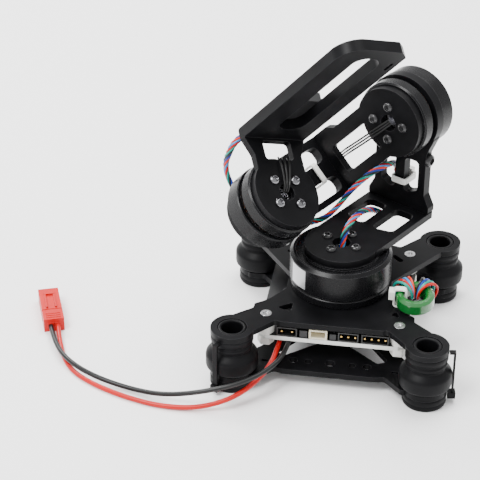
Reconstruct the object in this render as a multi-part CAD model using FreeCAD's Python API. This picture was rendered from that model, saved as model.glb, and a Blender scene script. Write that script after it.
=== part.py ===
import FreeCAD, Part
import math
import os
from FreeCAD import Placement, Rotation, Vector

# Three-axis camera gimbal with its damped mounting plate, standing on the four dampers.
# Millimetres. +Z is up, z = 0 is the underside of the dampers, and the Z axis is the yaw axis.

X = Vector(1, 0, 0)
Y = Vector(0, 1, 0)
Z = Vector(0, 0, 1)
ORIGIN = Vector(0, 0, 0)

# ---------------------------------------------------------------- driving dimensions
YAW_REST = 60.0
ROLL_REST = -48.0
PITCH_REST = 28.0

DAMPER_SPACING = 65.0
DAMPER_R = 8.85
DAMPER_BORE_R = 3.6
DAMPER_NECK_R = 4.9
RING_R = 7.3
CLEARANCE = 0.1

MOUNT_Z = 4.2
MOUNT_T = 2.0
MOUNT_HOLE_Y = 25.7
MOUNT_OUTER_X = 12.5
MOUNT_INNER_X = 7.5

PLATE_Z = 20.3
PLATE_T = 2.0
PLATE_TOP = PLATE_Z + PLATE_T

BOARD_SIZE = 50.0
BOARD_HOLES = 45.0
BOARD_Z = 13.4
BOARD_T = 1.6
BOARD_TOP = BOARD_Z + BOARD_T

YAW_BELL_TOP = 36.2
ARM_T = 2.5
ARM_TOP = YAW_BELL_TOP + ARM_T
ARM_HALF_WIDTH = 12.6
UPRIGHT_X = 33.6
UPRIGHT_T = 3.5
UPRIGHT_OUT = UPRIGHT_X + UPRIGHT_T
ROLL_AXIS_Z = 74.5

LEG_A_X = 24.6
LEG_A_T = 2.8
LEG_A_BACK = LEG_A_X + LEG_A_T
LEG_B_Y = 33.4
LEG_B_T = 3.6
LEG_HALF_WIDTH = 11.5
LEG_HIGH = 12.3
LEG_LOW = -10.9
PITCH_AXIS_X = -16.0

BRACKET_Y = 17.3
BRACKET_T = 2.4
BRACKET_BACK = BRACKET_Y + BRACKET_T
TRAY_BOTTOM = 19.7
TRAY_T = 3.9
TRAY_HALF_WIDTH = 12.3
TRAY_END_Y = -43.9
SENSOR_T = 3.4

SMALL_MOTOR_R = 14.0
SMALL_BASE_R = 13.6
ROLL_BASE_T = 4.6
PITCH_BASE_T = 4.8
YAW_MOTOR_R = 17.5
YAW_BASE_R = 17.0
MOTOR_SCREW_R = 6.0
SHAFT_R = 2.98
SHAFT_BORE_R = 2.2
BEARING_R = 5.0
BEARING_T = 3.0

# ---------------------------------------------------------------- frames of the moving bodies
yaw_frame = Placement(ORIGIN, Rotation(Z, YAW_REST))
roll_frame = yaw_frame.multiply(Placement(Vector(0, 0, ROLL_AXIS_Z), Rotation(X, ROLL_REST)))
pitch_frame = roll_frame.multiply(Placement(Vector(PITCH_AXIS_X, 0, 0), Rotation(Y, PITCH_REST)))


# ---------------------------------------------------------------- shape helpers
def placed(shape, frame):
    result = shape.copy()
    result.Placement = frame.multiply(result.Placement)
    return result


def moved(shape, x, y, z):
    return placed(shape, Placement(Vector(x, y, z), Rotation()))


def box(x0, x1, y0, y1, z0, z1):
    return Part.makeBox(x1 - x0, y1 - y0, z1 - z0, Vector(x0, y0, z0))


def cylinder(radius, z0, z1, x=0.0, y=0.0):
    return Part.makeCylinder(radius, z1 - z0, Vector(x, y, z0), Z)


def tube(r_out, r_in, z0, z1):
    return cylinder(r_out, z0, z1).cut(cylinder(r_in, z0 - 1, z1 + 1))


def cut_all(shape, tools):
    return shape.cut(Part.makeCompound(tools)) if tools else shape


def lathe(profile):
    """Solid of revolution about Z from a closed list of (radius, z) points."""
    points = [Vector(r, 0, z) for r, z in profile]
    points.append(points[0])
    face = Part.Face(Part.makePolygon(points))
    return face.revolve(ORIGIN, Z, 360)


def rounded_wire(points, radius):
    """Closed wire in the XY plane, corners rounded; a point's third value is its own radius."""
    count = len(points)
    corners = [Vector(p[0], p[1], 0) for p in points]
    edges = []
    ends = []
    for i in range(count):
        before = corners[i - 1]
        here = corners[i]
        after = corners[(i + 1) % count]
        a = before.sub(here)
        b = after.sub(here)
        half = a.getAngle(b) / 2
        wanted = points[i][2] if len(points[i]) > 2 else radius
        reach = min(wanted / math.tan(half), 0.45 * a.Length, 0.45 * b.Length)
        fillet = reach * math.tan(half)
        a.normalize()
        b.normalize()
        start = here.add(a.multiply(reach))
        end = here.add(b.multiply(reach))
        bisector = start.add(end).multiply(0.5).sub(here)
        bisector.normalize()
        middle = here.add(bisector.multiply(math.hypot(reach, fillet) - fillet))
        ends.append((start, middle, end))
    for i in range(count):
        start, middle, end = ends[i]
        edges.append(Part.Arc(start, middle, end).toShape())
        edges.append(Part.makeLine(end, ends[(i + 1) % count][0]))
    return Part.Wire(edges)


def slab(points, radius, z0, z1):
    """Flat plate with a rounded polygon outline."""
    face = Part.Face(rounded_wire(points, radius))
    return moved(face.extrude(Vector(0, 0, z1 - z0)), 0, 0, z0)


def rectangle(x0, x1, y0, y1):
    return [(x0, y0), (x1, y0), (x1, y1), (x0, y1)]


def hexagon_prism(across_flats, z0, z1):
    radius = across_flats / math.sqrt(3)
    points = [Vector(radius * math.cos(a), radius * math.sin(a), z0)
              for a in (math.radians(60 * i) for i in range(7))]
    return Part.Face(Part.makePolygon(points)).extrude(Vector(0, 0, z1 - z0))


def on_circle(count, radius, first_deg=0.0):
    """Points spread evenly on a circle."""
    angles = [math.radians(first_deg + 360.0 * i / count) for i in range(count)]
    return [(radius * math.cos(a), radius * math.sin(a)) for a in angles]


def corners_at(half):
    return [(half * i, half * j) for i in (-1, 1) for j in (-1, 1)]


def button_screw(head_r, head_h, shank_r, shank_len):
    """Domed socket screw, head above z = 0."""
    head = lathe([(0, 0), (head_r, 0), (head_r, 0.35 * head_h), (0.62 * head_r, head_h), (0, head_h)])
    socket = hexagon_prism(0.9 * head_r, 0.4 * head_h, head_h + 1)
    return head.cut(socket).fuse(cylinder(shank_r, -shank_len, 0.01)).removeSplitter()


def flat_screw(head_r, shank_r, shank_len):
    """Countersunk screw, head flush with z = 0."""
    depth = head_r - shank_r
    head = lathe([(0, 0), (head_r, 0), (head_r, -0.15), (shank_r, -0.15 - depth), (0, -0.15 - depth)])
    socket = hexagon_prism(0.9 * head_r, -0.6 * depth, 1)
    shank = cylinder(shank_r, -shank_len, -0.15 - depth + 0.01)
    return head.fuse(shank).cut(socket).removeSplitter()


def round_tube(points, radius):
    """Tube along straight runs joined by tangent arcs; returns the solid, its length and its bend radii."""
    route = [Vector(*p) for p in points]
    edges = []
    radii = []
    length = 0.0
    last = route[0]
    for i in range(1, len(route) - 1):
        back = route[i - 1].sub(route[i])
        ahead = route[i + 1].sub(route[i])
        turn = math.pi - back.getAngle(ahead)
        reach = 0.45 * min(back.Length, ahead.Length)
        bend = reach / math.tan(turn / 2)
        back.normalize()
        ahead.normalize()
        start = route[i].add(back.multiply(reach))
        end = route[i].add(ahead.multiply(reach))
        inward = start.add(end).multiply(0.5).sub(route[i])
        inward.normalize()
        middle = route[i].add(inward.multiply(math.hypot(reach, bend) - bend))
        edges.append(Part.LineSegment(last, start).toShape())
        edges.append(Part.Arc(start, middle, end).toShape())
        length += last.distanceToPoint(start) + bend * turn
        radii.append(bend)
        last = end
    edges.append(Part.LineSegment(last, route[-1]).toShape())
    length += last.distanceToPoint(route[-1])
    path = Part.Wire(edges)
    section = Part.Wire([Part.Circle(route[0], route[1].sub(route[0]), radius).toShape()])
    return path.makePipeShell([section], True, False, 2), length, radii


nodes = {}


def keep(name, solids, frame=None):
    """Store one named piece, as one solid or a group of separate ones."""
    group = solids if isinstance(solids, list) else [solids]
    if frame is not None:
        group = [placed(s, frame) for s in group]
    nodes[name] = group[0] if len(group) == 1 else Part.makeCompound(group)


def keep_cable(name, points, radius, frame=None):
    solid, length, radii = round_tube(points, radius)
    ratio = solid.Volume / (math.pi * radius * radius * length)
    print("%s length %.1f volume ratio %.3f radii %s"
          % (name, length, ratio, " ".join("%.1f" % r for r in radii)))
    keep(name, solid, frame)


# ---------------------------------------------------------------- mounting plate and dampers
def mount_plate():
    """Plate that bolts to the aircraft: four damper rings, two drilled bars and a centre hub."""
    half = DAMPER_SPACING / 2
    front = [(15.6, -31.4), (18.8, -30.6), (25.2, -37.4), (half, -half), (37.4, -25.2),
             (30.0, -25.4), (20.0, -14.0), (15.0, -6.0)]
    side = front + [(x, -y) for x, y in reversed(front)]
    outline = side + [(-x, y) for x, y in reversed(side)]
    z1 = MOUNT_Z + MOUNT_T
    body = slab(outline, 1.5, MOUNT_Z, z1)
    tools = []
    window = [(4.0, -13.6), (15.9, -23.5), (19.4, -21.3), (13.4, -12.6), (9.6, -7.0), (4.0, -7.0)]
    for sx in (-1, 1):
        for sy in (-1, 1):
            body = body.fuse(cylinder(RING_R, MOUNT_Z, z1, sx * half, sy * half))
            tools.append(slab([(sx * x, -sy * y) for x, y in window], 1.4, MOUNT_Z - 1, z1 + 1))
            tools.append(cylinder(DAMPER_NECK_R + CLEARANCE, 0, 10, sx * half, sy * half))
            tools.append(cylinder(1.5, 0, 10, sx * MOUNT_OUTER_X, sy * MOUNT_HOLE_Y))
            tools.append(cylinder(1.25, 0, 10, sx * MOUNT_INNER_X, sy * MOUNT_HOLE_Y))
            tools.append(box(sx * 22.1 - 1.2, sx * 22.1 + 1.2, sy * 27.4 - 0.6, sy * 27.4 + 0.6, 0, 10))
    for sy in (-1, 1):
        tools.append(cylinder(1.7, 0, 10, 0, sy * MOUNT_HOLE_Y))
    tools.append(cylinder(4.0, 0, 10))
    return cut_all(body, tools).removeSplitter()


def damper():
    """Hollow rubber damper: foot flange, neck in the mounting plate, barrel, neck in the motor plate."""
    low = MOUNT_Z - 0.05
    high = MOUNT_Z + MOUNT_T + 0.05
    top = PLATE_Z - 0.05
    outer = [(6.7, 0), (7.4, 0.6), (7.4, 1.7), (7.15, 1.95), (7.4, 2.2), (7.4, 3.6), (7.0, low),
             (DAMPER_NECK_R, low), (DAMPER_NECK_R, high), (7.1, high), (7.6, 7.0), (DAMPER_R, 7.9),
             (DAMPER_R, 12.2), (8.3, 12.8), (7.4, 14.0), (6.6, 14.3), (6.6, 15.1), (6.95, 15.4),
             (6.95, 16.6), (6.6, 16.9), (6.6, 17.5), (7.15, 17.8), (7.25, top), (DAMPER_NECK_R, top),
             (DAMPER_NECK_R, PLATE_TOP)]
    inner = [(DAMPER_BORE_R, PLATE_TOP), (DAMPER_BORE_R, 15.0), (6.2, 12.5), (6.2, 8.5),
             (DAMPER_BORE_R, 6.0), (DAMPER_BORE_R, 0)]
    return lathe(outer + inner)


def retaining_tie(angle_deg):
    """Flat strap outside a damper that ties the two plates together, with a square head at its foot."""
    inner = DAMPER_R + 0.15
    strap = box(inner, inner + 0.6, -0.9, 0.9, 3.0, 19.6)
    hook = box(7.5, inner + 0.6, -0.9, 0.9, 19.2, 19.9)
    head = box(7.6, inner + 1.3, -1.4, 1.4, 1.6, 3.8)
    tie = strap.fuse(hook).fuse(head).removeSplitter()
    return placed(tie, Placement(ORIGIN, Rotation(Z, angle_deg)))


def make_mount():
    half = DAMPER_SPACING / 2
    keep("mount_plate", mount_plate())
    keep("dampers", [moved(damper(), x, y, 0) for x, y in corners_at(half)])
    keep("damper_ties", [moved(retaining_tie(-118), -half, -half, 0),
                         moved(retaining_tie(8), half, -half, 0)])


# ---------------------------------------------------------------- motor plate and control board
def motor_plate():
    """Upper damped plate: X-shaped, rings over the dampers, carries the yaw motor and the board."""
    half = DAMPER_SPACING / 2
    front = [(17.2, -26.8), (18.9, -26.2), (25.2, -33.4), (half, -half), (33.4, -25.2),
             (27.2, -20.0), (27.2, -17.4), (24.6, -15.6), (22.4, -13.4), (17.8, -6.5)]
    rear = [(17.8, 3.5), (26.0, 15.0), (33.4, 25.2), (half, half), (25.2, 33.4),
            (18.9, 26.2), (17.2, 26.8)]
    side = front + rear
    outline = side + [(-x, y) for x, y in reversed(side)]
    body = slab(outline, 1.2, PLATE_Z, PLATE_TOP)
    tools = []
    for x, y in corners_at(half):
        body = body.fuse(cylinder(RING_R, PLATE_Z, PLATE_TOP, x, y))
        tools.append(cylinder(DAMPER_NECK_R + CLEARANCE, 0, 40, x, y))
    for x, y in corners_at(BOARD_HOLES / 2):
        tools.append(moved(lathe([(0, 0.2), (2.0, 0.2), (2.0, -0.12), (1.5, -0.65), (1.5, -3), (0, -3)]),
                           x, y, PLATE_TOP))
    tools.append(slab([(-19.4, -18.4), (-14.6, -20.6), (-14.0, -14.6)], 0.6, 15, 30))
    tools.append(slab([(19.2, -17.2), (22.6, -18.6), (20.6, -14.2)], 0.6, 15, 30))
    for sx in (-1, 1):
        slot = slab(rectangle(-2.6, 2.6, -1.0, 1.0), 0.9, 15, 30)
        tools.append(placed(slot, Placement(Vector(sx * 18.4, 18.6, 0), Rotation(Z, -sx * 45))))
    tools.append(cylinder(3.6, 15, 30))
    for x, y in on_circle(4, 9.5, 45):
        tools.append(cylinder(1.25, 15, 30, x, y))
    return cut_all(body, tools).removeSplitter()


def control_board():
    half = BOARD_SIZE / 2
    cut = 2.4
    outline = [(half - cut, -half), (half, -half + cut), (half, half - cut), (half - cut, half),
               (-half + cut, half), (-half, half - cut), (-half, -half + cut), (-half + cut, -half)]
    board = slab(outline, 0.5, BOARD_Z, BOARD_TOP)
    holes = [cylinder(1.6, 0, 40, x, y) for x, y in corners_at(BOARD_HOLES / 2)]
    return cut_all(board, holes)


def board_headers():
    """Black pin housings along the front and rear edges, hollow towards the edge."""
    housings = []
    spans = [(-18.6, -11.6), (2.2, 9.2), (10.1, 19.4)]
    for x0, x1 in spans:
        shell = box(x0, x1, -24.9, -17.4, BOARD_TOP, BOARD_TOP + 3.6)
        hollow = box(x0 + 0.5, x1 - 0.5, -26.0, -21.0, BOARD_TOP + 0.5, BOARD_TOP + 3.1)
        housings.append(shell.cut(hollow))
    for x0, x1 in [(-17.0, -7.0), (-3.0, 7.0), (9.0, 19.0)]:
        housings.append(box(x0, x1, 19.0, 24.6, BOARD_TOP, BOARD_TOP + 2.6))
    return housings


def board_chips():
    """Driver chips, the regulator coil and the capacitors on the board's top face."""
    chips = [box(-10.8, -8.2, -24.6, -20.6, BOARD_TOP, BOARD_TOP + 2.8),
             box(-0.6, 1.6, -24.6, -20.8, BOARD_TOP, BOARD_TOP + 2.4)]
    for x in (-13.0, 0.0, 13.0):
        chips.append(box(x - 2.6, x + 2.6, 8.0, 13.0, BOARD_TOP, BOARD_TOP + 1.1))
    chips.append(box(-6.0, 6.0, -8.0, 4.0, BOARD_TOP, BOARD_TOP + 1.2))
    chips.append(slab(rectangle(-19.5, -13.5, -6.0, 0.0), 1.0, BOARD_TOP, BOARD_TOP + 3.0))
    chips.append(cylinder(2.4, BOARD_TOP, BOARD_TOP + 4.0, 16.0, -5.0))
    return chips


def motor_socket():
    """Cream wire-to-board socket at the middle of the front edge."""
    shell = box(-7.6, -1.4, -24.9, -19.0, BOARD_TOP, BOARD_TOP + 3.7)
    mouth = box(-6.9, -2.1, -26.0, -20.4, BOARD_TOP + 0.7, BOARD_TOP + 3.0)
    return shell.cut(mouth)


def make_board():
    keep("motor_plate", motor_plate())
    keep("control_board", control_board())
    keep("board_headers", board_headers())
    keep("board_chips", board_chips())
    keep("motor_socket", motor_socket())
    spots = corners_at(BOARD_HOLES / 2)
    spacer = hexagon_prism(5.0, BOARD_TOP, PLATE_Z).cut(cylinder(1.45, 0, 40))
    nut = hexagon_prism(5.0, BOARD_Z - 2.4, BOARD_Z).cut(cylinder(1.45, 0, 40))
    screw = flat_screw(1.9, 1.4, PLATE_TOP - BOARD_Z + 2.6)
    keep("board_spacers", [moved(spacer, x, y, 0) for x, y in spots])
    keep("board_nuts", [moved(nut, x, y, 0) for x, y in spots])
    keep("board_screws", [moved(screw, x, y, PLATE_TOP) for x, y in spots])


# ---------------------------------------------------------------- motors
def motor_base(base_r, base_t, tube_top, screw_spots):
    """Stator base: flange, bearing tube and tapped holes; its mounting face is z = 0."""
    step = 0.5
    flange = lathe([(3.4, 0), (base_r - step, 0), (base_r, step), (base_r, base_t - step),
                    (base_r - step, base_t), (6.0, base_t), (6.0, tube_top), (BEARING_R, tube_top),
                    (BEARING_R, 1.7), (3.4, 1.7)])
    return cut_all(flange, [cylinder(1.0, -1, base_t - 0.6, x, y) for x, y in screw_spots])


def bearings(tube_top):
    rings = [tube(BEARING_R, SHAFT_R + 0.03, 1.7, 1.7 + BEARING_T),
             tube(BEARING_R, SHAFT_R + 0.03, tube_top - BEARING_T, tube_top)]
    return rings


def shaft(z0, z1):
    return tube(SHAFT_R, SHAFT_BORE_R, z0, z1)


def sector(r_in, r_out, angle_deg, z0, z1):
    outer = Part.makeCylinder(r_out, z1 - z0, Vector(0, 0, z0), Z, angle_deg)
    ring = outer.cut(cylinder(r_in, z0 - 1, z1 + 1))
    return placed(ring, Placement(ORIGIN, Rotation(Z, -angle_deg / 2)))


def stator_core(tip_r, teeth, z0, z1):
    """Laminated core: hub ring on the bearing tube and T-shaped teeth."""
    core = tube(7.0, 6.0, z0, z1)
    for i in range(teeth):
        turn = Placement(ORIGIN, Rotation(Z, 360.0 * i / teeth))
        tooth = box(6.5, tip_r - 0.8, -0.8, 0.8, z0, z1)
        tip = sector(tip_r - 1.2, tip_r, 300.0 / teeth - 3.0, z0, z1)
        core = core.fuse(placed(tooth, turn)).fuse(placed(tip, turn))
    return core.removeSplitter()


def windings(tip_r, teeth, z0, z1):
    """One coil round each tooth."""
    width = 0.42 * 2 * math.pi * 7.4 / teeth
    coil = box(7.3, tip_r - 1.4, -width, width, z0 - 0.9, z1 + 0.9)
    coil = coil.cut(box(0, 30, -0.82, 0.82, z0 - 0.02, z1 + 0.02))
    return [placed(coil, Placement(ORIGIN, Rotation(Z, 360.0 * i / teeth))) for i in range(teeth)]


def magnets(r_in, r_out, poles, z0, z1):
    piece = sector(r_in, r_out, 360.0 / poles - 2.0, z0, z1)
    return [placed(piece, Placement(ORIGIN, Rotation(Z, 360.0 * i / poles))) for i in range(poles)]


def bell(radius, wall, z0, z1, cap):
    """Rotor bell: open at z0, closed at z1, chamfered rim and a hub bored for the shaft."""
    rim = 1.1
    return lathe([(SHAFT_R, z1), (SHAFT_R, z1 - cap - 0.8), (5.2, z1 - cap - 0.8), (5.2, z1 - cap),
                  (radius - wall, z1 - cap), (radius - wall, z0), (radius - 0.3, z0), (radius, z0 + 0.3),
                  (radius, z1 - rim), (radius - rim, z1)])


def make_yaw_motor():
    base = Placement(Vector(0, 0, PLATE_TOP), Rotation())
    spots = on_circle(4, 9.5, 45)
    keep("yaw_motor_base", motor_base(YAW_BASE_R, 3.2, 10.7, spots), base)
    keep("yaw_bearings", bearings(10.7), base)
    keep("yaw_stator_core", stator_core(14.0, 12, 5.1, 10.0), base)
    keep("yaw_windings", windings(14.0, 12, 5.1, 10.0), base)
    screw = placed(button_screw(1.9, 1.0, 0.98, PLATE_T + 2.4), Placement(ORIGIN, Rotation(X, 180)))
    keep("yaw_base_screws", [moved(screw, x, y, PLATE_Z) for x, y in spots])
    top = YAW_BELL_TOP - PLATE_TOP
    cup = bell(YAW_MOTOR_R, 1.5, 3.7, top, 1.8)
    groove = tube(15.6, 13.2, top - 0.7, top + 1)
    taps = [cylinder(1.0, top - 1.9, top + 1, x, y) for x, y in on_circle(4, MOTOR_SCREW_R)]
    keep("yaw_bell", cut_all(cup.cut(groove), taps), yaw_frame.multiply(base))
    keep("yaw_magnets", magnets(14.35, 16.0, 14, 4.4, 11.4), yaw_frame.multiply(base))
    keep("yaw_shaft", shaft(0.4, top), yaw_frame.multiply(base))


# ---------------------------------------------------------------- yaw arm
def yaw_arm_plate():
    """Horizontal plate: disc on the yaw bell, two windows with a bar between, square outer end."""
    w = ARM_HALF_WIDTH
    bar = slab([(2.0, -w), (UPRIGHT_OUT, -w), (UPRIGHT_OUT, w), (2.0, w)], 0.8, YAW_BELL_TOP, ARM_TOP)
    body = cylinder(w, YAW_BELL_TOP, ARM_TOP).fuse(bar)
    tools = [cylinder(3.2, 0, 60)]
    for side in (-1, 1):
        window = [(14.2, side * 1.8), (30.2, side * 1.8), (30.2, side * 9.6), (16.4, side * 9.6)]
        tools.append(slab(window, 2.0, 30, 45))
        tools.append(cylinder(1.05, 30, 45, UPRIGHT_X + UPRIGHT_T / 2, side * 8.0))
    tools += [cylinder(1.05, 30, 45, x, y) for x, y in on_circle(4, MOTOR_SCREW_R)]
    return cut_all(body, tools).removeSplitter()


def upright():
    """Upright plate, drawn flat as (across, up) and then stood on the arm plate."""
    foot = ARM_HALF_WIDTH
    waist = 10.4
    top_z = ROLL_AXIS_Z
    outline = [(-foot, ARM_TOP), (foot, ARM_TOP), (foot, 41.2), (waist, 45.5), (waist, 61.8),
               (13.0, 68.0), (13.0, top_z), (-13.0, top_z), (-13.0, 68.0), (-waist, 61.8),
               (-waist, 45.5), (-foot, 41.2)]
    body = slab(outline, 0.8, 0, UPRIGHT_T)
    body = body.fuse(cylinder(14.2, 0, UPRIGHT_T, 0, top_z))
    tools = [cylinder(12.2, -1, 9, 0, top_z)]
    for side in (-1, 1):
        window = [(side * 1.9, 44.0), (side * 7.6, 46.5), (side * 7.6, 58.0), (side * 1.9, 58.0)]
        tools.append(slab(window, 1.6, -1, 9))
    return cut_all(body, tools).removeSplitter()


def make_yaw_arm():
    stand = Placement(FreeCAD.Matrix(0, 0, 1, UPRIGHT_X, 1, 0, 0, 0, 0, 1, 0, 0, 0, 0, 0, 1))
    keep("yaw_arm_plate", yaw_arm_plate(), yaw_frame)
    plate = placed(upright(), stand)
    holes = [cylinder(0.98, ARM_TOP - 1, ARM_TOP + 5, UPRIGHT_X + UPRIGHT_T / 2, s * 8.0) for s in (-1, 1)]
    clamp = Placement(Vector(UPRIGHT_X + UPRIGHT_T / 2, -10.4, 59.0), Rotation(X, 90))
    holes.append(placed(cylinder(0.98, -6, 1), clamp))
    keep("upright", cut_all(plate, holes), yaw_frame)
    screw = button_screw(1.8, 1.1, 0.96, ARM_T + 1.4)
    keep("yaw_arm_screws", [moved(screw, x, y, ARM_TOP) for x, y in on_circle(4, MOTOR_SCREW_R)],
         yaw_frame)
    foot = placed(button_screw(2.0, 1.2, 0.96, ARM_T + 4.5), Placement(ORIGIN, Rotation(X, 180)))
    group = [moved(foot, UPRIGHT_X + UPRIGHT_T / 2, s * 8.0, YAW_BELL_TOP) for s in (-1, 1)]
    group.append(placed(button_screw(2.3, 1.5, 0.96, 5.5), clamp))
    keep("upright_screws", group, yaw_frame)
    roll_spot = Placement(Vector(LEG_A_BACK, 0, ROLL_AXIS_Z), Rotation(Y, 90))
    z_arm = UPRIGHT_OUT - LEG_A_BACK
    z_end = 44.0 - LEG_A_BACK
    cup = bell(SMALL_MOTOR_R, 1.1, z_arm, z_end, 1.6)
    spigot = tube(12.18, 11.6, z_arm - 3.1, z_arm + 0.5)
    collar = tube(13.5, 11.6, z_arm, z_arm + 0.5)
    keep("roll_bell", cup.fuse(spigot).fuse(collar).removeSplitter(), yaw_frame.multiply(roll_spot))
    keep("roll_magnets", magnets(11.5, 12.9, 14, z_arm + 0.6, z_end - 1.9), yaw_frame.multiply(roll_spot))
    keep("roll_shaft", shaft(0.6, z_end), yaw_frame.multiply(roll_spot))


# ---------------------------------------------------------------- roll arm
def leg_a():
    """Leg square to the roll axis, drawn as (towards the corner, across)."""
    outline = [(0, -9.4), (22.3, -9.4), (25.7, LEG_LOW), (LEG_B_Y, LEG_LOW),
               (LEG_B_Y, LEG_HIGH), (25.7, LEG_HIGH), (22.3, 10.4), (0, 10.4)]
    body = slab(outline, 0.8, 0, LEG_A_T).fuse(cylinder(12.5, 0, LEG_A_T))
    tools = [slab([(8.6, -5.2), (29.0, -5.2), (29.0, 5.2), (8.6, 5.2)], 1.2, -1, 9),
             cylinder(3.0, -1, 9)]
    tools += [cylinder(1.05, -1, 9, x, y) for x, y in on_circle(4, MOTOR_SCREW_R, 45)]
    return cut_all(body, tools).removeSplitter()


def leg_b():
    """Leg along the roll axis, drawn as (along the axis, across), with two long slots."""
    outline = [(LEG_A_BACK, LEG_LOW), (LEG_A_BACK, LEG_HIGH), (-8.0, LEG_HIGH),
               (PITCH_AXIS_X, LEG_HALF_WIDTH), (PITCH_AXIS_X, -LEG_HALF_WIDTH), (-8.0, LEG_LOW)]
    round_end = cylinder(LEG_HALF_WIDTH, 0, LEG_B_T, PITCH_AXIS_X, 0)
    body = slab(outline, 0.5, 0, LEG_B_T).fuse(round_end)
    tools = [cylinder(3.0, -1, 9, PITCH_AXIS_X, 0)]
    for low, high in ((-8.6, -2.7), (3.4, 9.5)):
        tools.append(slab(rectangle(1.0, 23.0, low, high), 2.4, -1, 9))
    for x, y in on_circle(4, MOTOR_SCREW_R, 45):
        hole = [(0, 4), (2.0, 4), (2.0, 3.45), (1.02, 2.5), (1.02, -1), (0, -1)]
        tools.append(moved(lathe(hole), PITCH_AXIS_X + x, y, 0))
    for side in (-1, 1):
        tools.append(cylinder(1.0, -1, 9, LEG_A_X + LEG_A_T / 2, side * 7.5))
    return cut_all(body, tools).removeSplitter()


def make_roll_arm():
    # Flat drawings: (first, second, thickness) become (u, v, x) for leg A and (x, v, u) for leg B.
    flat_a = Placement(FreeCAD.Matrix(0, 0, 1, LEG_A_X, 1, 0, 0, 0, 0, 1, 0, 0, 0, 0, 0, 1))
    spots = on_circle(4, MOTOR_SCREW_R, 45)
    leg = placed(leg_a(), flat_a)
    taps = []
    for side in (-1, 1):
        tap = Placement(Vector(LEG_A_X + LEG_A_T / 2, LEG_B_Y + LEG_B_T, side * 7.5), Rotation(X, -90))
        taps.append(placed(cylinder(0.82, -LEG_B_T - 5, 1), tap))
    keep("leg_a", cut_all(leg, taps), roll_frame)
    flip = Placement(Vector(0, LEG_B_Y, 0), Rotation(X, 90))
    mirrored = leg_b().mirror(ORIGIN, Z)
    keep("leg_b", placed(mirrored, flip), roll_frame)
    corner = button_screw(1.7, 1.0, 0.8, LEG_B_T + 4.6)
    out = Rotation(X, -90)
    group = [placed(corner, Placement(Vector(LEG_A_X + LEG_A_T / 2, LEG_B_Y + LEG_B_T, s * 7.5), out))
             for s in (-1, 1)]
    face = Placement(Vector(LEG_A_X, 0, 0), Rotation(Y, -90))
    screw = button_screw(1.8, 1.1, 0.96, LEG_A_T + 2.2)
    group += [placed(moved(screw, x, y, 0), face) for x, y in spots]
    keep("leg_a_screws", group, roll_frame)
    spot = Placement(Vector(LEG_A_BACK, 0, 0), Rotation(Y, 90))
    z_arm = UPRIGHT_OUT - LEG_A_BACK
    tube_top = 13.9
    base = motor_base(SMALL_BASE_R, ROLL_BASE_T, tube_top, spots)
    keep("roll_motor_base", base, roll_frame.multiply(spot))
    keep("roll_bearings", bearings(tube_top), roll_frame.multiply(spot))
    keep("roll_stator_core", stator_core(11.2, 12, z_arm + 0.9, z_arm + 3.7), roll_frame.multiply(spot))
    keep("roll_windings", windings(11.2, 12, z_arm + 0.9, z_arm + 3.7), roll_frame.multiply(spot))
    pitch_spot = Placement(Vector(PITCH_AXIS_X, BRACKET_BACK, 0), Rotation(X, -90))
    z_end = LEG_B_Y - BRACKET_BACK
    cup = bell(SMALL_MOTOR_R, 1.1, 6.6, z_end, 1.8)
    taps = [cylinder(1.0, z_end - 2.7, z_end + 1, x, y) for x, y in spots]
    keep("pitch_bell", cut_all(cup, taps), roll_frame.multiply(pitch_spot))
    keep("pitch_magnets", magnets(11.5, 12.9, 14, 7.2, z_end - 2.3), roll_frame.multiply(pitch_spot))
    keep("pitch_shaft", shaft(0.6, z_end), roll_frame.multiply(pitch_spot))
    back = Placement(Vector(PITCH_AXIS_X, LEG_B_Y + LEG_B_T, 0), Rotation(X, -90))
    flat = flat_screw(1.9, 0.96, LEG_B_T + 1.6)
    keep("leg_b_screws", [placed(moved(flat, x, y, 0), back) for x, y in spots], roll_frame)


# ---------------------------------------------------------------- camera bracket
def bracket_plate():
    """Upright part of the bracket, drawn as (across, up): motor disc, neck with a window, flare."""
    top = TRAY_BOTTOM + TRAY_T
    half = [(9.6, 0), (9.6, 13.6), (TRAY_HALF_WIDTH, TRAY_BOTTOM), (TRAY_HALF_WIDTH, top)]
    outline = half + [(-x, y) for x, y in reversed(half)]
    body = slab(outline, 0.8, 0, BRACKET_T).fuse(cylinder(12.6, 0, BRACKET_T))
    tools = [slab(rectangle(-5.3, 6.2, 11.8, 18.9), 1.3, -1, 9), cylinder(3.0, -1, 9)]
    tools += [cylinder(1.05, -1, 9, x, y) for x, y in on_circle(4, MOTOR_SCREW_R, 45)]
    return cut_all(body, tools).removeSplitter()


def bracket_tray():
    """Camera tray, drawn as (across, towards the neck): long slot, one wide round corner."""
    w = TRAY_HALF_WIDTH
    near = BRACKET_BACK
    outline = [(-w, near, 0.6), (-w, TRAY_END_Y + 0.6, 8.0), (w - 3.4, TRAY_END_Y, 1.0),
               (w, TRAY_END_Y + 2.7, 1.0), (w, near, 0.6)]
    body = slab(outline, 1.0, TRAY_BOTTOM, TRAY_BOTTOM + TRAY_T)
    tools = [slab(rectangle(-4.4, 5.6, TRAY_END_Y + 5.4, 10.4), 4.99, 0, 40),
             slab(rectangle(9.4, 10.6, -37.0, -32.4), 0.6, 0, 40)]
    return cut_all(body, tools).removeSplitter()


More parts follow.
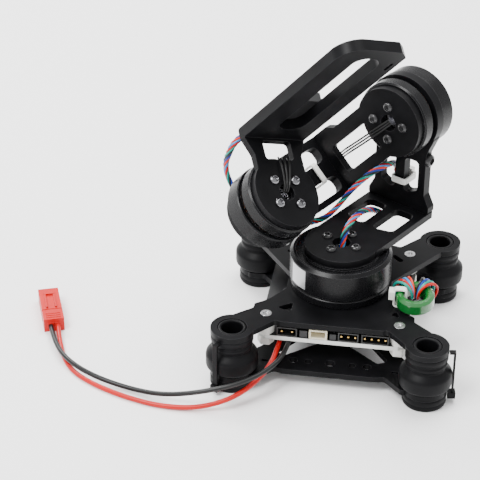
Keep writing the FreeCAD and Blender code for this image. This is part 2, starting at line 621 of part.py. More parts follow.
def make_bracket():
    stand = Placement(Vector(0, BRACKET_Y, 0), Rotation(X, 90))
    plate = placed(bracket_plate().mirror(ORIGIN, Z), stand)
    keep("camera_bracket", plate.fuse(bracket_tray()).removeSplitter(), pitch_frame)
    spots = on_circle(4, MOTOR_SCREW_R, 45)
    face = Placement(Vector(0, BRACKET_Y, 0), Rotation(X, 90))
    screw = button_screw(1.8, 1.1, 0.96, BRACKET_T + 2.2)
    keep("bracket_screws", [placed(moved(screw, x, y, 0), face) for x, y in spots], pitch_frame)
    spot = Placement(Vector(0, BRACKET_BACK, 0), Rotation(X, -90))
    z_end = LEG_B_Y - BRACKET_BACK
    tube_top = z_end - 2.9
    base = motor_base(SMALL_BASE_R, PITCH_BASE_T, tube_top, spots)
    keep("pitch_motor_base", base, pitch_frame.multiply(spot))
    keep("pitch_bearings", bearings(tube_top), pitch_frame.multiply(spot))
    keep("pitch_stator_core", stator_core(11.2, 12, 7.6, 9.9), pitch_frame.multiply(spot))
    keep("pitch_windings", windings(11.2, 12, 7.6, 9.9), pitch_frame.multiply(spot))
    top = TRAY_BOTTOM + TRAY_T
    keep("imu_sensor", box(-5.9, 7.1, -2.8, 13.2, top, top + SENSOR_T), pitch_frame)


# ---------------------------------------------------------------- cables, ties and the power lead
# Routes are listed point by point; the bundle is six twisted strands.
BUNDLE_R = 1.15
LEAD_R = 0.85
MOTOR_WIRE_R = 0.4

# In the yaw frame: out of the hollow yaw shaft, through the arm's window, up behind the upright.
YAW_ROUTE = [(0.0, 0.0, 26.0), (0.0, 0.0, 36.5), (2.8, 0.5, 42.6), (10.0, 1.2, 44.6),
             (18.0, 2.8, 42.2), (25.0, 4.0, 38.4), (31.0, 4.2, 33.9), (37.6, 4.2, 33.4),
             (41.0, 4.2, 38.4), (39.6, 4.6, 45.4), (38.9, 5.2, 51.4), (33.0, 3.04, 54.18)]
# In the yaw frame, then the roll frame: past leg A and under leg B's lower edge.
ROLL_ROUTE = [(33.0, 3.04, 54.18), (26.6, 0.7, 57.2), (20.6, 3.9, 55.2), (17.6, 9.4, 47.7),
              (14.2, 12.3, 41.4)]
ROLL_END = [(9.5, 38.2, -13.8), (3.65, 38.38, -11.55)]
# In the roll frame: along the outside of leg B and round its end.
LEG_ROUTE = [(3.65, 38.38, -11.55), (-3.5, 38.6, -8.8), (-12.0, 38.5, -3.5), (-16.6, 38.5, 5.0),
             (-15.8, 38.5, 11.0)]
# In the roll frame, then the pitch frame: the loop beside the pitch motor.
PITCH_ROUTE = [(-15.8, 38.5, 11.0), (-15.05, 38.5, 16.6), (-15.3, 34.6, 20.9), (-16.0, 29.4, 22.6)]
PITCH_END = [(-10.8, 25.2, 21.6), (-7.6, 23.2, 23.6)]
# In the pitch frame: over the bracket's top edge to the sensor on the tray.
BRACKET_ROUTE = [(-7.6, 23.2, 23.6), (-4.4, 21.2, 25.6), (-1.4, 18.0, 27.0), (0.2, 13.8, 25.6)]
# Fixed frame: the two power wires, from under the board to the plug on the ground.
BLACK_ROUTE = [(-14.0, -19.0, 12.5), (-14.3, -26.0, 12.5), (-16.6, -36.0, 11.6), (-25.6, -45.4, 9.6),
               (-39.6, -48.8, 6.4), (-53.0, -47.6, 2.6), (-65.0, -44.2, 1.2), (-77.5, -41.2, 2.4),
               (-88.0, -35.0, 2.9), (-95.6, -25.4, 2.6), (-99.87, -14.43, 2.6)]
RED_ROUTE = [(-17.3, -19.0, 12.5), (-17.6, -26.0, 12.1), (-19.4, -35.6, 8.8), (-27.2, -46.8, 5.2),
             (-39.6, -51.2, 1.6), (-53.0, -51.6, 0.85), (-65.5, -48.6, 0.85), (-77.5, -43.6, 0.85),
             (-87.6, -36.6, 0.85), (-93.6, -26.0, 0.95), (-97.53, -13.57, 2.6)]
PLUG_HEADING = 110.3
PLUG_LENGTH = 20.0
PLUG_WIDTH = 7.2
PLUG_HEIGHT = 5.2


def in_frame(frame, point):
    return frame.multVec(Vector(*point))


def convert(route, frame_from, frame_to):
    """The same points written in another body's frame."""
    back = frame_to.inverse().multiply(frame_from)
    return [tuple(in_frame(back, p)) for p in route]


def band(x0, x1, y0, y1, width, thick):
    """Cable tie: a flat closed loop round a rectangle, with its square head on the +X side."""
    outer = slab(rectangle(x0 - thick, x1 + thick, y0 - thick, y1 + thick), 1.2, 0, width)
    inner = slab(rectangle(x0, x1, y0, y1), 0.7, -1, width + 1)
    head = box(x1, x1 + 2.2, y1 - 3.4, y1 - 0.2, -0.6, width + 0.6)
    return outer.cut(inner).fuse(head).removeSplitter()


def make_cables():
    keep_cable("yaw_cable", YAW_ROUTE, BUNDLE_R, yaw_frame)
    roll_route = ROLL_ROUTE + convert(ROLL_END, roll_frame, yaw_frame)
    keep_cable("roll_cable", roll_route, BUNDLE_R, yaw_frame)
    keep_cable("leg_cable", LEG_ROUTE, BUNDLE_R, roll_frame)
    pitch_route = PITCH_ROUTE + convert(PITCH_END, pitch_frame, roll_frame)
    keep_cable("pitch_cable", pitch_route, BUNDLE_R, roll_frame)
    keep_cable("sensor_cable", BRACKET_ROUTE, BUNDLE_R, pitch_frame)

    roll_wires = []
    pitch_wires = []
    for i in (-1, 0, 1):
        shift = 0.9 * i
        route = [(25.6, 0.0, 0.8 * i), (23.7, 3.6, shift), (23.5, 12.0, 0.4 + shift),
                 (23.9, 19.0, 0.8 + shift), (26.2, 25.4, 1.2 + shift), (29.6, 29.8, 1.4 + shift),
                 (30.0, 34.6, 1.4 + shift), (28.8, 39.0, 1.4 + shift), (22.0, 38.2, 1.0 + shift),
                 (17.6, 38.0, 0.8 + shift), (14.6, 38.2, 0.8 + shift)]
        roll_wires.append(round_tube(route, MOTOR_WIRE_R)[0])
        route = [(0.8 * i, 18.6, 0.2), (0.9 * i, 16.5, 1.4), (0.6 + 1.0 * i, 16.2, 7.0),
                 (1.4 + 0.9 * i, 16.1, 11.6), (1.8 + 0.9 * i, 17.6, 12.8)]
        pitch_wires.append(round_tube(route, MOTOR_WIRE_R)[0])
    sleeve = Placement(Vector(0, 38.4, 0.8), Rotation(Y, 90))
    roll_wires.append(placed(cylinder(1.3, 8.5, 14.5), sleeve))
    keep("roll_motor_wires", roll_wires, roll_frame)
    keep("pitch_motor_wires", pitch_wires, pitch_frame)

    upright_spot = Placement(Vector(0, 0, 47.4), Rotation())
    keep("upright_tie", placed(band(33.2, 39.6, -2.4, 2.4, 2.2, 0.8), upright_spot), yaw_frame)
    leg_spot = Placement(FreeCAD.Matrix(0, 0, 1, 15.2, 1, 0, 0, 0, 0, 1, 0, 0, 0, 0, 0, 1))
    keep("leg_tie", placed(band(33.0, 39.2, -3.0, 3.8, 2.2, 0.8), leg_spot), roll_frame)


def make_power_lead():
    keep_cable("power_wire_black", BLACK_ROUTE, LEAD_R)
    keep_cable("power_wire_red", RED_ROUTE, LEAD_R)
    black = Vector(*BLACK_ROUTE[-1])
    red = Vector(*RED_ROUTE[-1])
    face = black.add(red).multiply(0.5)
    heading = Placement(Vector(face.x, face.y, 0), Rotation(Z, PLUG_HEADING))
    half = PLUG_WIDTH / 2
    shell = box(0.4, PLUG_LENGTH, -half, half, 0, PLUG_HEIGHT)
    latch = box(9.0, PLUG_LENGTH - 3.0, -1.6, 1.6, PLUG_HEIGHT, PLUG_HEIGHT + 0.7)
    sockets = [box(PLUG_LENGTH - 7.0, PLUG_LENGTH + 1, s * 1.25 - 0.8, s * 1.25 + 0.8, 1.8, 3.4)
               for s in (-1, 1)]
    keep("power_plug", cut_all(shell.fuse(latch), sockets).removeSplitter(), heading)


# ---------------------------------------------------------------- ferrite ring on the sensor lead
FERRITE_X = 26.6
FERRITE_Y = -11.2
FERRITE_Z = 26.0
FERRITE_OUT = 6.5
FERRITE_IN = 3.6
FERRITE_HEIGHT = 5.4


def make_ferrite():
    spot = Placement(Vector(FERRITE_X, FERRITE_Y, FERRITE_Z), Rotation(X, 8))
    h = FERRITE_HEIGHT / 2
    c = 0.9
    ring = lathe([(FERRITE_IN, -h + c), (FERRITE_IN + c, -h), (FERRITE_OUT - c, -h),
                  (FERRITE_OUT, -h + c), (FERRITE_OUT, h - c), (FERRITE_OUT - c, h),
                  (FERRITE_IN + c, h), (FERRITE_IN, h - c)])
    keep("ferrite_ring", ring, spot)
    turns = []
    middle = (FERRITE_IN + FERRITE_OUT) / 2
    for angle in (38, 56, 74, 112, 130, 148):
        arc = Part.makeTorus(3.9, 0.48, ORIGIN, Y, 0, 360, 250)
        arc = placed(arc, Placement(Vector(middle, 0, 0), Rotation(Y, 60)))
        turns.append(placed(arc, Placement(ORIGIN, Rotation(Z, angle))))
    keep("ferrite_winding", turns, spot)
    # The tie's loop stands in the XZ plane round the ring's wall, its head towards the motor.
    tie_spot = Placement(FreeCAD.Matrix(-1, 0, 0, FERRITE_X - middle, 0, 0, 1, FERRITE_Y - 1.1,
                                        0, 1, 0, FERRITE_Z, 0, 0, 0, 1))
    wall = (FERRITE_OUT - FERRITE_IN) / 2 + 0.2
    keep("ferrite_tie", placed(band(-wall, wall, -h - 0.25, h + 0.25, 2.2, 0.7), tie_spot))


make_mount()
make_board()
make_yaw_motor()
make_yaw_arm()
make_roll_arm()
make_bracket()
make_cables()
make_power_lead()
make_ferrite()

os.makedirs("parts", exist_ok=True)
for name, shape in nodes.items():
    shape.exportStep("parts/" + name + ".step")
print(len(nodes), "nodes")
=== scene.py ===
import math
import bmesh
import bpy
from mathutils import Matrix, Vector


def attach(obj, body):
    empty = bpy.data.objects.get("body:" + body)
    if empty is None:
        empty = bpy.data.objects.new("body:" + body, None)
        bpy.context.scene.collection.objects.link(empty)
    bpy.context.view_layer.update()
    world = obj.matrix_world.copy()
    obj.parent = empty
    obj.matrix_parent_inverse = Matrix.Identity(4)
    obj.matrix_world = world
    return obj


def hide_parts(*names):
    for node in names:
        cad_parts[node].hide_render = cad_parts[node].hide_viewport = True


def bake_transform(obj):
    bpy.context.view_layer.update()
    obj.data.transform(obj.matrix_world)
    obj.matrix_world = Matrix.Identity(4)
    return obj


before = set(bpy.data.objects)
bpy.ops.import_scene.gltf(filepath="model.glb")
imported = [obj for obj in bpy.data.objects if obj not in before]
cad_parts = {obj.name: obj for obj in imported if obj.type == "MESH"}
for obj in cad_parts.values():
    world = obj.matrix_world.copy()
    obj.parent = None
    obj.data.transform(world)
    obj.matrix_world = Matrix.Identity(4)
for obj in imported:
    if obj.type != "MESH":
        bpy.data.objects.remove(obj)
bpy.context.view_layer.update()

# Looks of the three-axis camera gimbal. Lengths below are millimetres in the moving bodies'
# own frames; METRES turns them into the row's frame.
METRES = Matrix.Scale(0.001, 4)
STILL = Matrix.Identity(4)
YAW = Matrix.Rotation(math.radians(60.0), 4, "Z")
ROLL = YAW @ Matrix.Translation((0, 0, 74.5)) @ Matrix.Rotation(math.radians(-48.0), 4, "X")
PITCH = ROLL @ Matrix.Translation((-16.0, 0, 0)) @ Matrix.Rotation(math.radians(28.0), 4, "Y")

DAMPER_HALF = 32.5
BOARD_TOP = 15.0
PLATE_TOP = 22.3
ARM_TOP = 38.7
SCREW_RING = 6.0
BOARD_SCREW = 22.5
UPRIGHT_MIDDLE = 35.35
LEG_A_X = 24.6
LEG_B_BACK = 37.0
BRACKET_Y = 17.3
YAW_BELL_R = 17.5
LEAD_R = 0.85


# ------------------------------------------------------------------ camera
def make_camera():
    azimuth = math.radians(8.72)
    elevation = math.radians(32.11)
    target = Vector((-0.0335, -0.0099, 0.0423))
    away = Vector((math.sin(azimuth) * math.cos(elevation),
                   -math.cos(azimuth) * math.cos(elevation), math.sin(elevation)))
    data = bpy.data.cameras.new("camera")
    data.lens = 136.62
    data.sensor_width = 36.0
    camera = bpy.data.objects.new("camera", data)
    distance = 0.6148
    camera.location = target + away * distance
    turn = (-away).to_track_quat("-Z", "Y").to_matrix().to_4x4()
    roll = Matrix.Rotation(math.radians(0.38), 4, "Z")
    camera.rotation_euler = (turn @ roll).to_euler()
    bpy.context.scene.collection.objects.link(camera)
    bpy.context.scene.camera = camera


# ------------------------------------------------------------------ materials
def surface(name, colour, rough=0.4, metallic=0.0, grain=1500.0, bump=0.04, mottle=0.25,
            rounding=0.0002, painted_edge_highlight=None, coat=0.0, specular=0.5):
    """Procedural finish: mottled colour and roughness, fine bump, rounded edges, and optionally a painted
    highlight colour along the edges.
    """
    material = bpy.data.materials.new(name)
    material.use_nodes = True
    tree = material.node_tree
    shader = tree.nodes["Principled BSDF"]
    shader.inputs["Metallic"].default_value = metallic
    shader.inputs["Coat Weight"].default_value = coat
    shader.inputs["Coat Roughness"].default_value = 0.12
    shader.inputs["Specular IOR Level"].default_value = specular
    place = tree.nodes.new("ShaderNodeTexCoord")
    noise = tree.nodes.new("ShaderNodeTexNoise")
    noise.inputs["Scale"].default_value = grain
    noise.inputs["Detail"].default_value = 5.0
    tree.links.new(place.outputs["Object"], noise.inputs["Vector"])
    blotch = tree.nodes.new("ShaderNodeTexNoise")
    blotch.inputs["Scale"].default_value = grain * 0.06
    blotch.inputs["Detail"].default_value = 2.0
    tree.links.new(place.outputs["Object"], blotch.inputs["Vector"])
    ramp = tree.nodes.new("ShaderNodeValToRGB")
    low = [c * (1 - mottle) for c in colour]
    high = [min(1.0, c * (1 + mottle)) for c in colour]
    ramp.color_ramp.elements[0].position = 0.3
    ramp.color_ramp.elements[0].color = low + [1.0]
    ramp.color_ramp.elements[1].position = 0.7
    ramp.color_ramp.elements[1].color = high + [1.0]
    tree.links.new(blotch.outputs["Fac"], ramp.inputs["Fac"])
    span = tree.nodes.new("ShaderNodeMapRange")
    span.inputs["To Min"].default_value = max(0.02, rough - 0.05)
    span.inputs["To Max"].default_value = min(1.0, rough + 0.05)
    tree.links.new(noise.outputs["Fac"], span.inputs["Value"])
    tree.links.new(span.outputs["Result"], shader.inputs["Roughness"])
    relief = tree.nodes.new("ShaderNodeBump")
    relief.inputs["Strength"].default_value = bump
    relief.inputs["Distance"].default_value = 0.0002
    tree.links.new(noise.outputs["Fac"], relief.inputs["Height"])
    tree.links.new(relief.outputs["Normal"], shader.inputs["Normal"])
    last = ramp.outputs["Color"]
    if rounding:
        soft = tree.nodes.new("ShaderNodeBevel")
        soft.samples = 4
        soft.inputs["Radius"].default_value = rounding
        tree.links.new(soft.outputs["Normal"], relief.inputs["Normal"])
        # Painted highlight: a lighter colour is mixed in where the rounded-edge normal turns away from the
        # face, standing in for light caught by the edges.
        if painted_edge_highlight:
            shape = tree.nodes.new("ShaderNodeNewGeometry")
            dot = tree.nodes.new("ShaderNodeVectorMath")
            dot.operation = "DOT_PRODUCT"
            tree.links.new(soft.outputs["Normal"], dot.inputs[0])
            tree.links.new(shape.outputs["Normal"], dot.inputs[1])
            painted_highlight_mask = tree.nodes.new("ShaderNodeMapRange")
            painted_highlight_mask.inputs["From Min"].default_value = 0.995
            painted_highlight_mask.inputs["From Max"].default_value = 0.86
            tree.links.new(dot.outputs["Value"], painted_highlight_mask.inputs["Value"])
            mix = tree.nodes.new("ShaderNodeMixRGB")
            mix.inputs["Color2"].default_value = list(painted_edge_highlight) + [1.0]
            tree.links.new(painted_highlight_mask.outputs["Result"], mix.inputs["Fac"])
            tree.links.new(last, mix.inputs["Color1"])
            last = mix.outputs["Color"]
    tree.links.new(last, shader.inputs["Base Color"])
    return material


def turned(name, colour, rough, metallic):
    """Lathe-turned finish: as a plain surface, with a directional sheen and a painted highlight along the
    edges.
    """
    material = surface(name, colour, rough, metallic, grain=2600.0, bump=0.012, painted_edge_highlight=(0.07, 0.07, 0.074),
                       specular=0.16)
    shader = material.node_tree.nodes["Principled BSDF"]
    shader.inputs["Anisotropic"].default_value = 0.5
    return material


def two_sided(material, colour):
    """Give the faces that look up or down a second colour, as solder mask on a board's two sides."""
    tree = material.node_tree
    shader = tree.nodes["Principled BSDF"]
    before = shader.inputs["Base Color"].links[0].from_socket
    shape = tree.nodes.new("ShaderNodeNewGeometry")
    split = tree.nodes.new("ShaderNodeSeparateXYZ")
    tree.links.new(shape.outputs["True Normal"], split.inputs[0])
    flat = tree.nodes.new("ShaderNodeMath")
    flat.operation = "ABSOLUTE"
    tree.links.new(split.outputs["Z"], flat.inputs[0])
    mix = tree.nodes.new("ShaderNodeMixRGB")
    mix.inputs["Color2"].default_value = list(colour) + [1.0]
    tree.links.new(flat.outputs[0], mix.inputs["Fac"])
    tree.links.new(before, mix.inputs["Color1"])
    tree.links.new(mix.outputs["Color"], shader.inputs["Base Color"])


def make_materials():
    m = {}
    # The last colour given to the plate, damper and screw finishes is a painted highlight along their edges.
    m["plate"] = surface("plate_black", (0.0040, 0.0040, 0.0046), 0.36, 0.0, 2200.0, 0.04, 0.3,
                         0.00018, (0.05, 0.05, 0.053), specular=0.09)
    m["bell"] = turned("bell_black", (0.0044, 0.0044, 0.0050), 0.27, 0.0)
    m["rubber"] = surface("damper_rubber", (0.0036, 0.0036, 0.0042), 0.46, 0.0, 1400.0, 0.06, 0.3,
                          0.00025, (0.012, 0.012, 0.013), specular=0.10)
    m["strap"] = surface("strap_black", (0.005, 0.005, 0.0055), 0.38, 0.0, 1800.0, 0.05, specular=0.1)
    m["board"] = surface("board_white", (0.70, 0.71, 0.68), 0.32, 0.0, 1200.0, 0.02, 0.06, coat=0.2)
    two_sided(m["board"], (0.008, 0.008, 0.009))
    m["housing"] = surface("housing_black", (0.010, 0.010, 0.010), 0.38, 0.0, 2400.0, 0.03)
    m["chip"] = surface("chip_black", (0.014, 0.014, 0.015), 0.5, 0.0, 3000.0, 0.06)
    m["cream"] = surface("socket_cream", (0.72, 0.66, 0.50), 0.38, 0.0, 1400.0, 0.03, 0.06)
    m["nylon"] = surface("nylon_white", (0.80, 0.80, 0.76), 0.34, 0.0, 1300.0, 0.03, 0.05, coat=0.15)
    m["steel"] = surface("screw_silver", (0.55, 0.55, 0.55), 0.28, 1.0, 3000.0, 0.04, 0.12)
    m["foil"] = surface("label_foil", (0.50, 0.51, 0.52), 0.35, 0.6, 1600.0, 0.03, 0.1, 0.0)
    m["dark_steel"] = surface("screw_dark_steel", (0.20, 0.20, 0.21), 0.24, 1.0, 3000.0, 0.04, 0.12)
    m["screw"] = surface("screw_black", (0.016, 0.016, 0.017), 0.26, 0.0, 3000.0, 0.05, 0.2,
                         0.00012, (0.12, 0.12, 0.12))
    m["laminate"] = surface("stator_laminate", (0.06, 0.06, 0.065), 0.4, 0.6, 5000.0, 0.1)
    m["copper"] = surface("copper_enamel", (0.42, 0.16, 0.06), 0.3, 0.8, 5000.0, 0.3, 0.3)
    m["magnet"] = surface("magnet_nickel", (0.45, 0.45, 0.46), 0.3, 1.0, 2500.0, 0.03)
    m["bearing"] = surface("bearing_steel", (0.5, 0.5, 0.52), 0.25, 1.0, 2500.0, 0.03)
    m["ferrite"] = surface("ferrite_green", (0.006, 0.13, 0.020), 0.22, 0.0, 700.0, 0.10, 0.25,
                           0.0005, coat=0.6)
    m["gold"] = surface("pin_gold", (0.75, 0.48, 0.16), 0.25, 1.0, 3000.0, 0.03)
    m["sensor"] = surface("sensor_black", (0.010, 0.010, 0.011), 0.45, 0.0, 1800.0, 0.05)
    m["shrink"] = surface("heat_shrink", (0.009, 0.009, 0.009), 0.42, 0.0, 1100.0, 0.2)
    wire = {"black": (0.008, 0.008, 0.008), "red": (0.44, 0.002, 0.001), "orange": (0.58, 0.03, 0.004),
            "teal": (0.001, 0.25, 0.20), "blue": (0.006, 0.03, 0.24), "sky": (0.03, 0.22, 0.50)}
    for key, colour in wire.items():
        m[key] = surface("wire_" + key, colour, 0.34, 0.0, 900.0, 0.04, 0.10, 0.0, specular=0.3)
    m["plug"] = surface("plug_red", (0.46, 0.002, 0.001), 0.36, 0.0, 1500.0, 0.03, 0.08, specular=0.3)
    m["floor"] = surface("floor_white", (0.95, 0.95, 0.95), 0.8, 0.0, 60.0, 0.01, 0.01, 0.0)
    return m


# ------------------------------------------------------------------ mesh helpers
def add_piece(name, shape, place, materials, body, stands_for=(), bevel=0.0, sharp=35.0):
    """Store a bmesh, drawn in millimetres, as a piece that rides on a body."""
    shape.transform(METRES @ place)
    bmesh.ops.recalc_face_normals(shape, faces=shape.faces)
    mesh = bpy.data.meshes.new(name)
    shape.to_mesh(mesh)
    shape.free()
    for polygon in mesh.polygons:
        polygon.use_smooth = True
    mesh.set_sharp_from_angle(angle=math.radians(sharp))
    piece = bpy.data.objects.new(name, mesh)
    for material in materials:
        mesh.materials.append(material)
    bpy.context.scene.collection.objects.link(piece)
    if bevel:
        soften = piece.modifiers.new("soften", "BEVEL")
        soften.width = bevel * 0.001
        soften.segments = 2
        soften.limit_method = "ANGLE"
        soften.angle_limit = math.radians(35)
    if body:
        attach(piece, body)
    if stands_for:
        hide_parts(*stands_for)
    return piece


def lathe_into(shape, profile, place=STILL, steps=64, index=0):
    """Closed surface of revolution about Z from (radius, z) points; zero radius closes it."""
    rings = []
    for radius, z in profile:
        if radius < 1e-6:
            rings.append([shape.verts.new(place @ Vector((0, 0, z)))])
            continue
        ring = []
        for i in range(steps):
            a = 2 * math.pi * i / steps
            ring.append(shape.verts.new(place @ Vector((radius * math.cos(a), radius * math.sin(a), z))))
        rings.append(ring)
    closed = len(rings[0]) > 1
    pairs = list(zip(rings, rings[1:]))
    if closed:
        pairs.append((rings[-1], rings[0]))
    for a, b in pairs:
        for i in range(steps):
            j = (i + 1) % steps
            corners = [a[i % len(a)], a[j % len(a)], b[j % len(b)], b[i % len(b)]]
            unique = []
            for corner in corners:
                if corner not in unique:
                    unique.append(corner)
            if len(unique) > 2:
                shape.faces.new(unique).material_index = index


def box_into(shape, x0, x1, y0, y1, z0, z1, place=STILL, index=0):
    corners = [Vector((x, y, z)) for x in (x0, x1) for y in (y0, y1) for z in (z0, z1)]
    v = [shape.verts.new(place @ c) for c in corners]
    for ids in ((0, 1, 3, 2), (4, 6, 7, 5), (0, 4, 5, 1), (2, 3, 7, 6), (0, 2, 6, 4), (1, 5, 7, 3)):
        shape.faces.new([v[i] for i in ids]).material_index = index


def frames_along(points):
    """A direction and two side vectors at each point, carried along without twisting."""
    count = len(points)
    tangents = []
    for i in range(count):
        ahead = points[min(i + 1, count - 1)] - points[max(i - 1, 0)]
        tangents.append(ahead.normalized())
    side = tangents[0].orthogonal().normalized()
    result = []
    for tangent in tangents:
        side = (side - tangent * side.dot(tangent)).normalized()
        result.append((tangent, side, tangent.cross(side)))
    return result


def tube_into(shape, points, radius, steps=10, index=0):
    frames = frames_along(points)
    rings = []
    for point, (tangent, side, up) in zip(points, frames):
        ring = []
        for i in range(steps):
            a = 2 * math.pi * i / steps
            ring.append(shape.verts.new(point + side * (radius * math.cos(a)) + up * (radius * math.sin(a))))
        rings.append(ring)
    for a, b in zip(rings, rings[1:]):
        for i in range(steps):
            j = (i + 1) % steps
            shape.faces.new([a[i], a[j], b[j], b[i]]).material_index = index
    shape.faces.new(list(reversed(rings[0]))).material_index = index
    shape.faces.new(rings[-1]).material_index = index


def strap_into(shape, points, across, width, thick, index=0):
    """Flat strap along points; 'across' is the direction of its width."""
    frames = frames_along(points)
    rings = []
    for point, (tangent, side, up) in zip(points, frames):
        wide = (across - tangent * across.dot(tangent)).normalized()
        flat = tangent.cross(wide)
        ring = []
        for a, b in ((-1, -1), (1, -1), (1, 1), (-1, 1)):
            ring.append(shape.verts.new(point + wide * (a * width / 2) + flat * (b * thick / 2)))
        rings.append(ring)
    for a, b in zip(rings, rings[1:]):
        for i in range(4):
            j = (i + 1) % 4
            shape.faces.new([a[i], a[j], b[j], b[i]]).material_index = index
    shape.faces.new(list(reversed(rings[0]))).material_index = index
    shape.faces.new(rings[-1]).material_index = index


def spline_object(name, route, radius):
    """Smooth NURBS curve whose control points are the route, in metres."""
    curve = bpy.data.curves.new(name, "CURVE")
    curve.dimensions = "3D"
    curve.resolution_u = 12
    spline = curve.splines.new("NURBS")
    spline.points.add(len(route) - 1)
    for point, place in zip(spline.points, route):
        point.co = (place[0], place[1], place[2], 1.0)
    spline.order_u = 3
    spline.use_endpoint_u = True
    curve.bevel_depth = radius
    curve.bevel_resolution = 4
    curve.use_fill_caps = True
    item = bpy.data.objects.new(name, curve)
    bpy.context.scene.collection.objects.link(item)
    return item


def points_on(route):
    """Points along the route's smooth curve, in the route's own units."""
    item = spline_object("guide", route, 0.0)
    mesh = bpy.data.meshes.new_from_object(item)
    points = [v.co.copy() for v in mesh.vertices]
    bpy.data.objects.remove(item)
    bpy.data.meshes.remove(mesh)
    return points


def bundle(name, route, colours, m, body, stands_for, pitch=12.0, strand_r=0.39, ring_r=0.64,
           start_turn=0.0):
    """Strands twisted round the smooth curve through a route given in row millimetres."""
    points = points_on(route)
    frames = frames_along(points)
    shape = bmesh.new()
    for k in range(len(colours)):
        travelled = 0.0
        strand = []
        last = points[0]
        for point, (tangent, side, up) in zip(points, frames):
            travelled += (point - last).length
            last = point
            a = start_turn + 2 * math.pi * (k / len(colours) + travelled / pitch)
            reach = ring_r * (1 + 0.18 * math.sin(0.9 * travelled + 2.1 * k))
            strand.append(point + side * (reach * math.cos(a)) + up * (reach * math.sin(a)))
        tube_into(shape, strand, strand_r, 8, k)
    return add_piece(name, shape, STILL, [m[c] for c in colours], body, stands_for)


# ------------------------------------------------------------------ the power lead
BLACK_ROUTE = [(-14.0, -19.0, 12.5), (-14.3, -26.0, 12.5), (-16.6, -36.0, 11.6), (-25.6, -45.4, 9.6),
               (-39.6, -48.8, 6.4), (-53.0, -47.6, 2.6), (-65.0, -44.2, 1.2), (-77.5, -41.2, 2.4),
               (-88.0, -35.0, 2.9), (-95.6, -25.4, 2.6), (-99.87, -14.43, 2.6)]
RED_ROUTE = [(-17.3, -19.0, 12.5), (-17.6, -26.0, 12.1), (-19.4, -35.6, 8.8), (-27.2, -46.8, 5.2),
             (-39.6, -51.2, 1.6), (-53.0, -51.6, 0.85), (-65.5, -48.6, 0.85), (-77.5, -43.6, 0.85),
             (-87.6, -36.6, 0.85), (-93.6, -26.0, 0.95), (-97.53, -13.57, 2.6)]
PLUG_HEADING = 110.3


def make_plug(m):
    """Two-pin plug: ribbed shell, latch with a window and two sleeves round the wires."""
    middle = (Vector(BLACK_ROUTE[-1]) + Vector(RED_ROUTE[-1])) / 2
    place = Matrix.Translation((middle.x, middle.y, 0)) @ Matrix.Rotation(math.radians(PLUG_HEADING), 4, "Z")
    shape = bmesh.new()
    box_into(shape, 0.4, 6.0, -3.6, 3.6, 0.0, 5.2)
    box_into(shape, 5.9, 7.0, -3.35, 3.35, 0.2, 5.0)
    box_into(shape, 6.9, 20.0, -3.6, 3.6, 0.0, 5.2)
    for side in (-1, 1):
        box_into(shape, 7.6, 17.0, side * 1.6 - 0.35, side * 1.6 + 0.35, 5.1, 5.75)
        box_into(shape, 0.05, 0.6, side * 1.25 - 1.1, side * 1.25 + 1.1, 1.5, 3.7)
        box_into(shape, 19.9, 20.0, side * 1.25 - 0.8, side * 1.25 + 0.8, 1.8, 3.4, STILL, 1)
    box_into(shape, 15.6, 17.0, -1.9, 1.9, 5.1, 5.85)
    for i in range(3):
        box_into(shape, 1.4 + 1.2 * i, 1.9 + 1.2 * i, -2.6, 2.6, 5.1, 5.4)
    return add_piece("plug_shell", shape, place, [m["plug"], m["housing"]], "base",
                     ("power_plug",), 0.18)


def make_power_lead(m):
    plug = make_plug(m)
    for name, route, length in (("power_wire_black", BLACK_ROUTE, 0.1196),
                                ("power_wire_red", RED_ROUTE, 0.1206)):
        metres = [(x / 1000, y / 1000, z / 1000) for x, y, z in route]
        item = spline_object("lead_" + name.split("_")[-1], metres, LEAD_R / 1000)
        item.data.materials.append(m[name.split("_")[-1]])
        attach(item, "base")
        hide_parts(name)


# ------------------------------------------------------------------ the sensor harness
HARNESS = ("red", "teal", "black", "blue", "orange", "sky")
YAW_ROUTE = [(0.0, 0.0, 26.0), (0.0, 0.0, 36.5), (2.8, 0.5, 42.6), (10.0, 1.2, 44.6),
             (18.0, 2.8, 42.2), (25.0, 4.0, 38.4), (31.0, 4.2, 33.9), (37.6, 4.2, 33.4),
             (41.0, 4.2, 38.4), (39.6, 4.6, 45.4), (38.9, 5.2, 51.4), (33.0, 3.04, 54.18)]
ROLL_ROUTE = [(33.0, 3.04, 54.18), (26.6, 0.7, 57.2), (20.6, 3.9, 55.2), (17.6, 9.4, 47.7),
              (14.2, 12.3, 41.4)]
ROLL_END = [(9.5, 38.2, -13.8), (3.65, 38.38, -11.55)]
LEG_ROUTE = [(3.65, 38.38, -11.55), (-3.5, 38.6, -8.8), (-12.0, 38.5, -3.5), (-16.6, 38.5, 5.0),
             (-15.8, 38.5, 11.0)]
PITCH_ROUTE = [(-15.8, 38.5, 11.0), (-15.05, 38.5, 16.6), (-15.3, 34.6, 20.9), (-16.0, 29.4, 22.6)]
PITCH_END = [(-10.8, 25.2, 21.6), (-7.6, 23.2, 23.6)]
BRACKET_ROUTE = [(-7.6, 23.2, 23.6), (-4.4, 21.2, 25.6), (-1.4, 18.0, 27.0), (0.2, 13.8, 25.6)]


def in_row(place, route):
    return [place @ Vector(p) for p in route]


def make_harness(m):
    bundle("harness_yaw", in_row(YAW, YAW_ROUTE), HARNESS, m, "yaw_arm", ("yaw_cable",))
    roll = in_row(YAW, ROLL_ROUTE) + in_row(ROLL, ROLL_END)
    piece = bundle("harness_roll", roll, HARNESS, m, None, ("roll_cable",))
    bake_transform(piece)
    bundle("harness_leg", in_row(ROLL, LEG_ROUTE), HARNESS, m, "roll_arm", ("leg_cable",))
    loop = in_row(ROLL, PITCH_ROUTE) + in_row(PITCH, PITCH_END)
    piece = bundle("harness_pitch", loop, HARNESS, m, None, ("pitch_cable",))
    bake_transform(piece)
    bundle("harness_sensor", in_row(PITCH, BRACKET_ROUTE), HARNESS, m, "camera_mount", ("sensor_cable",))


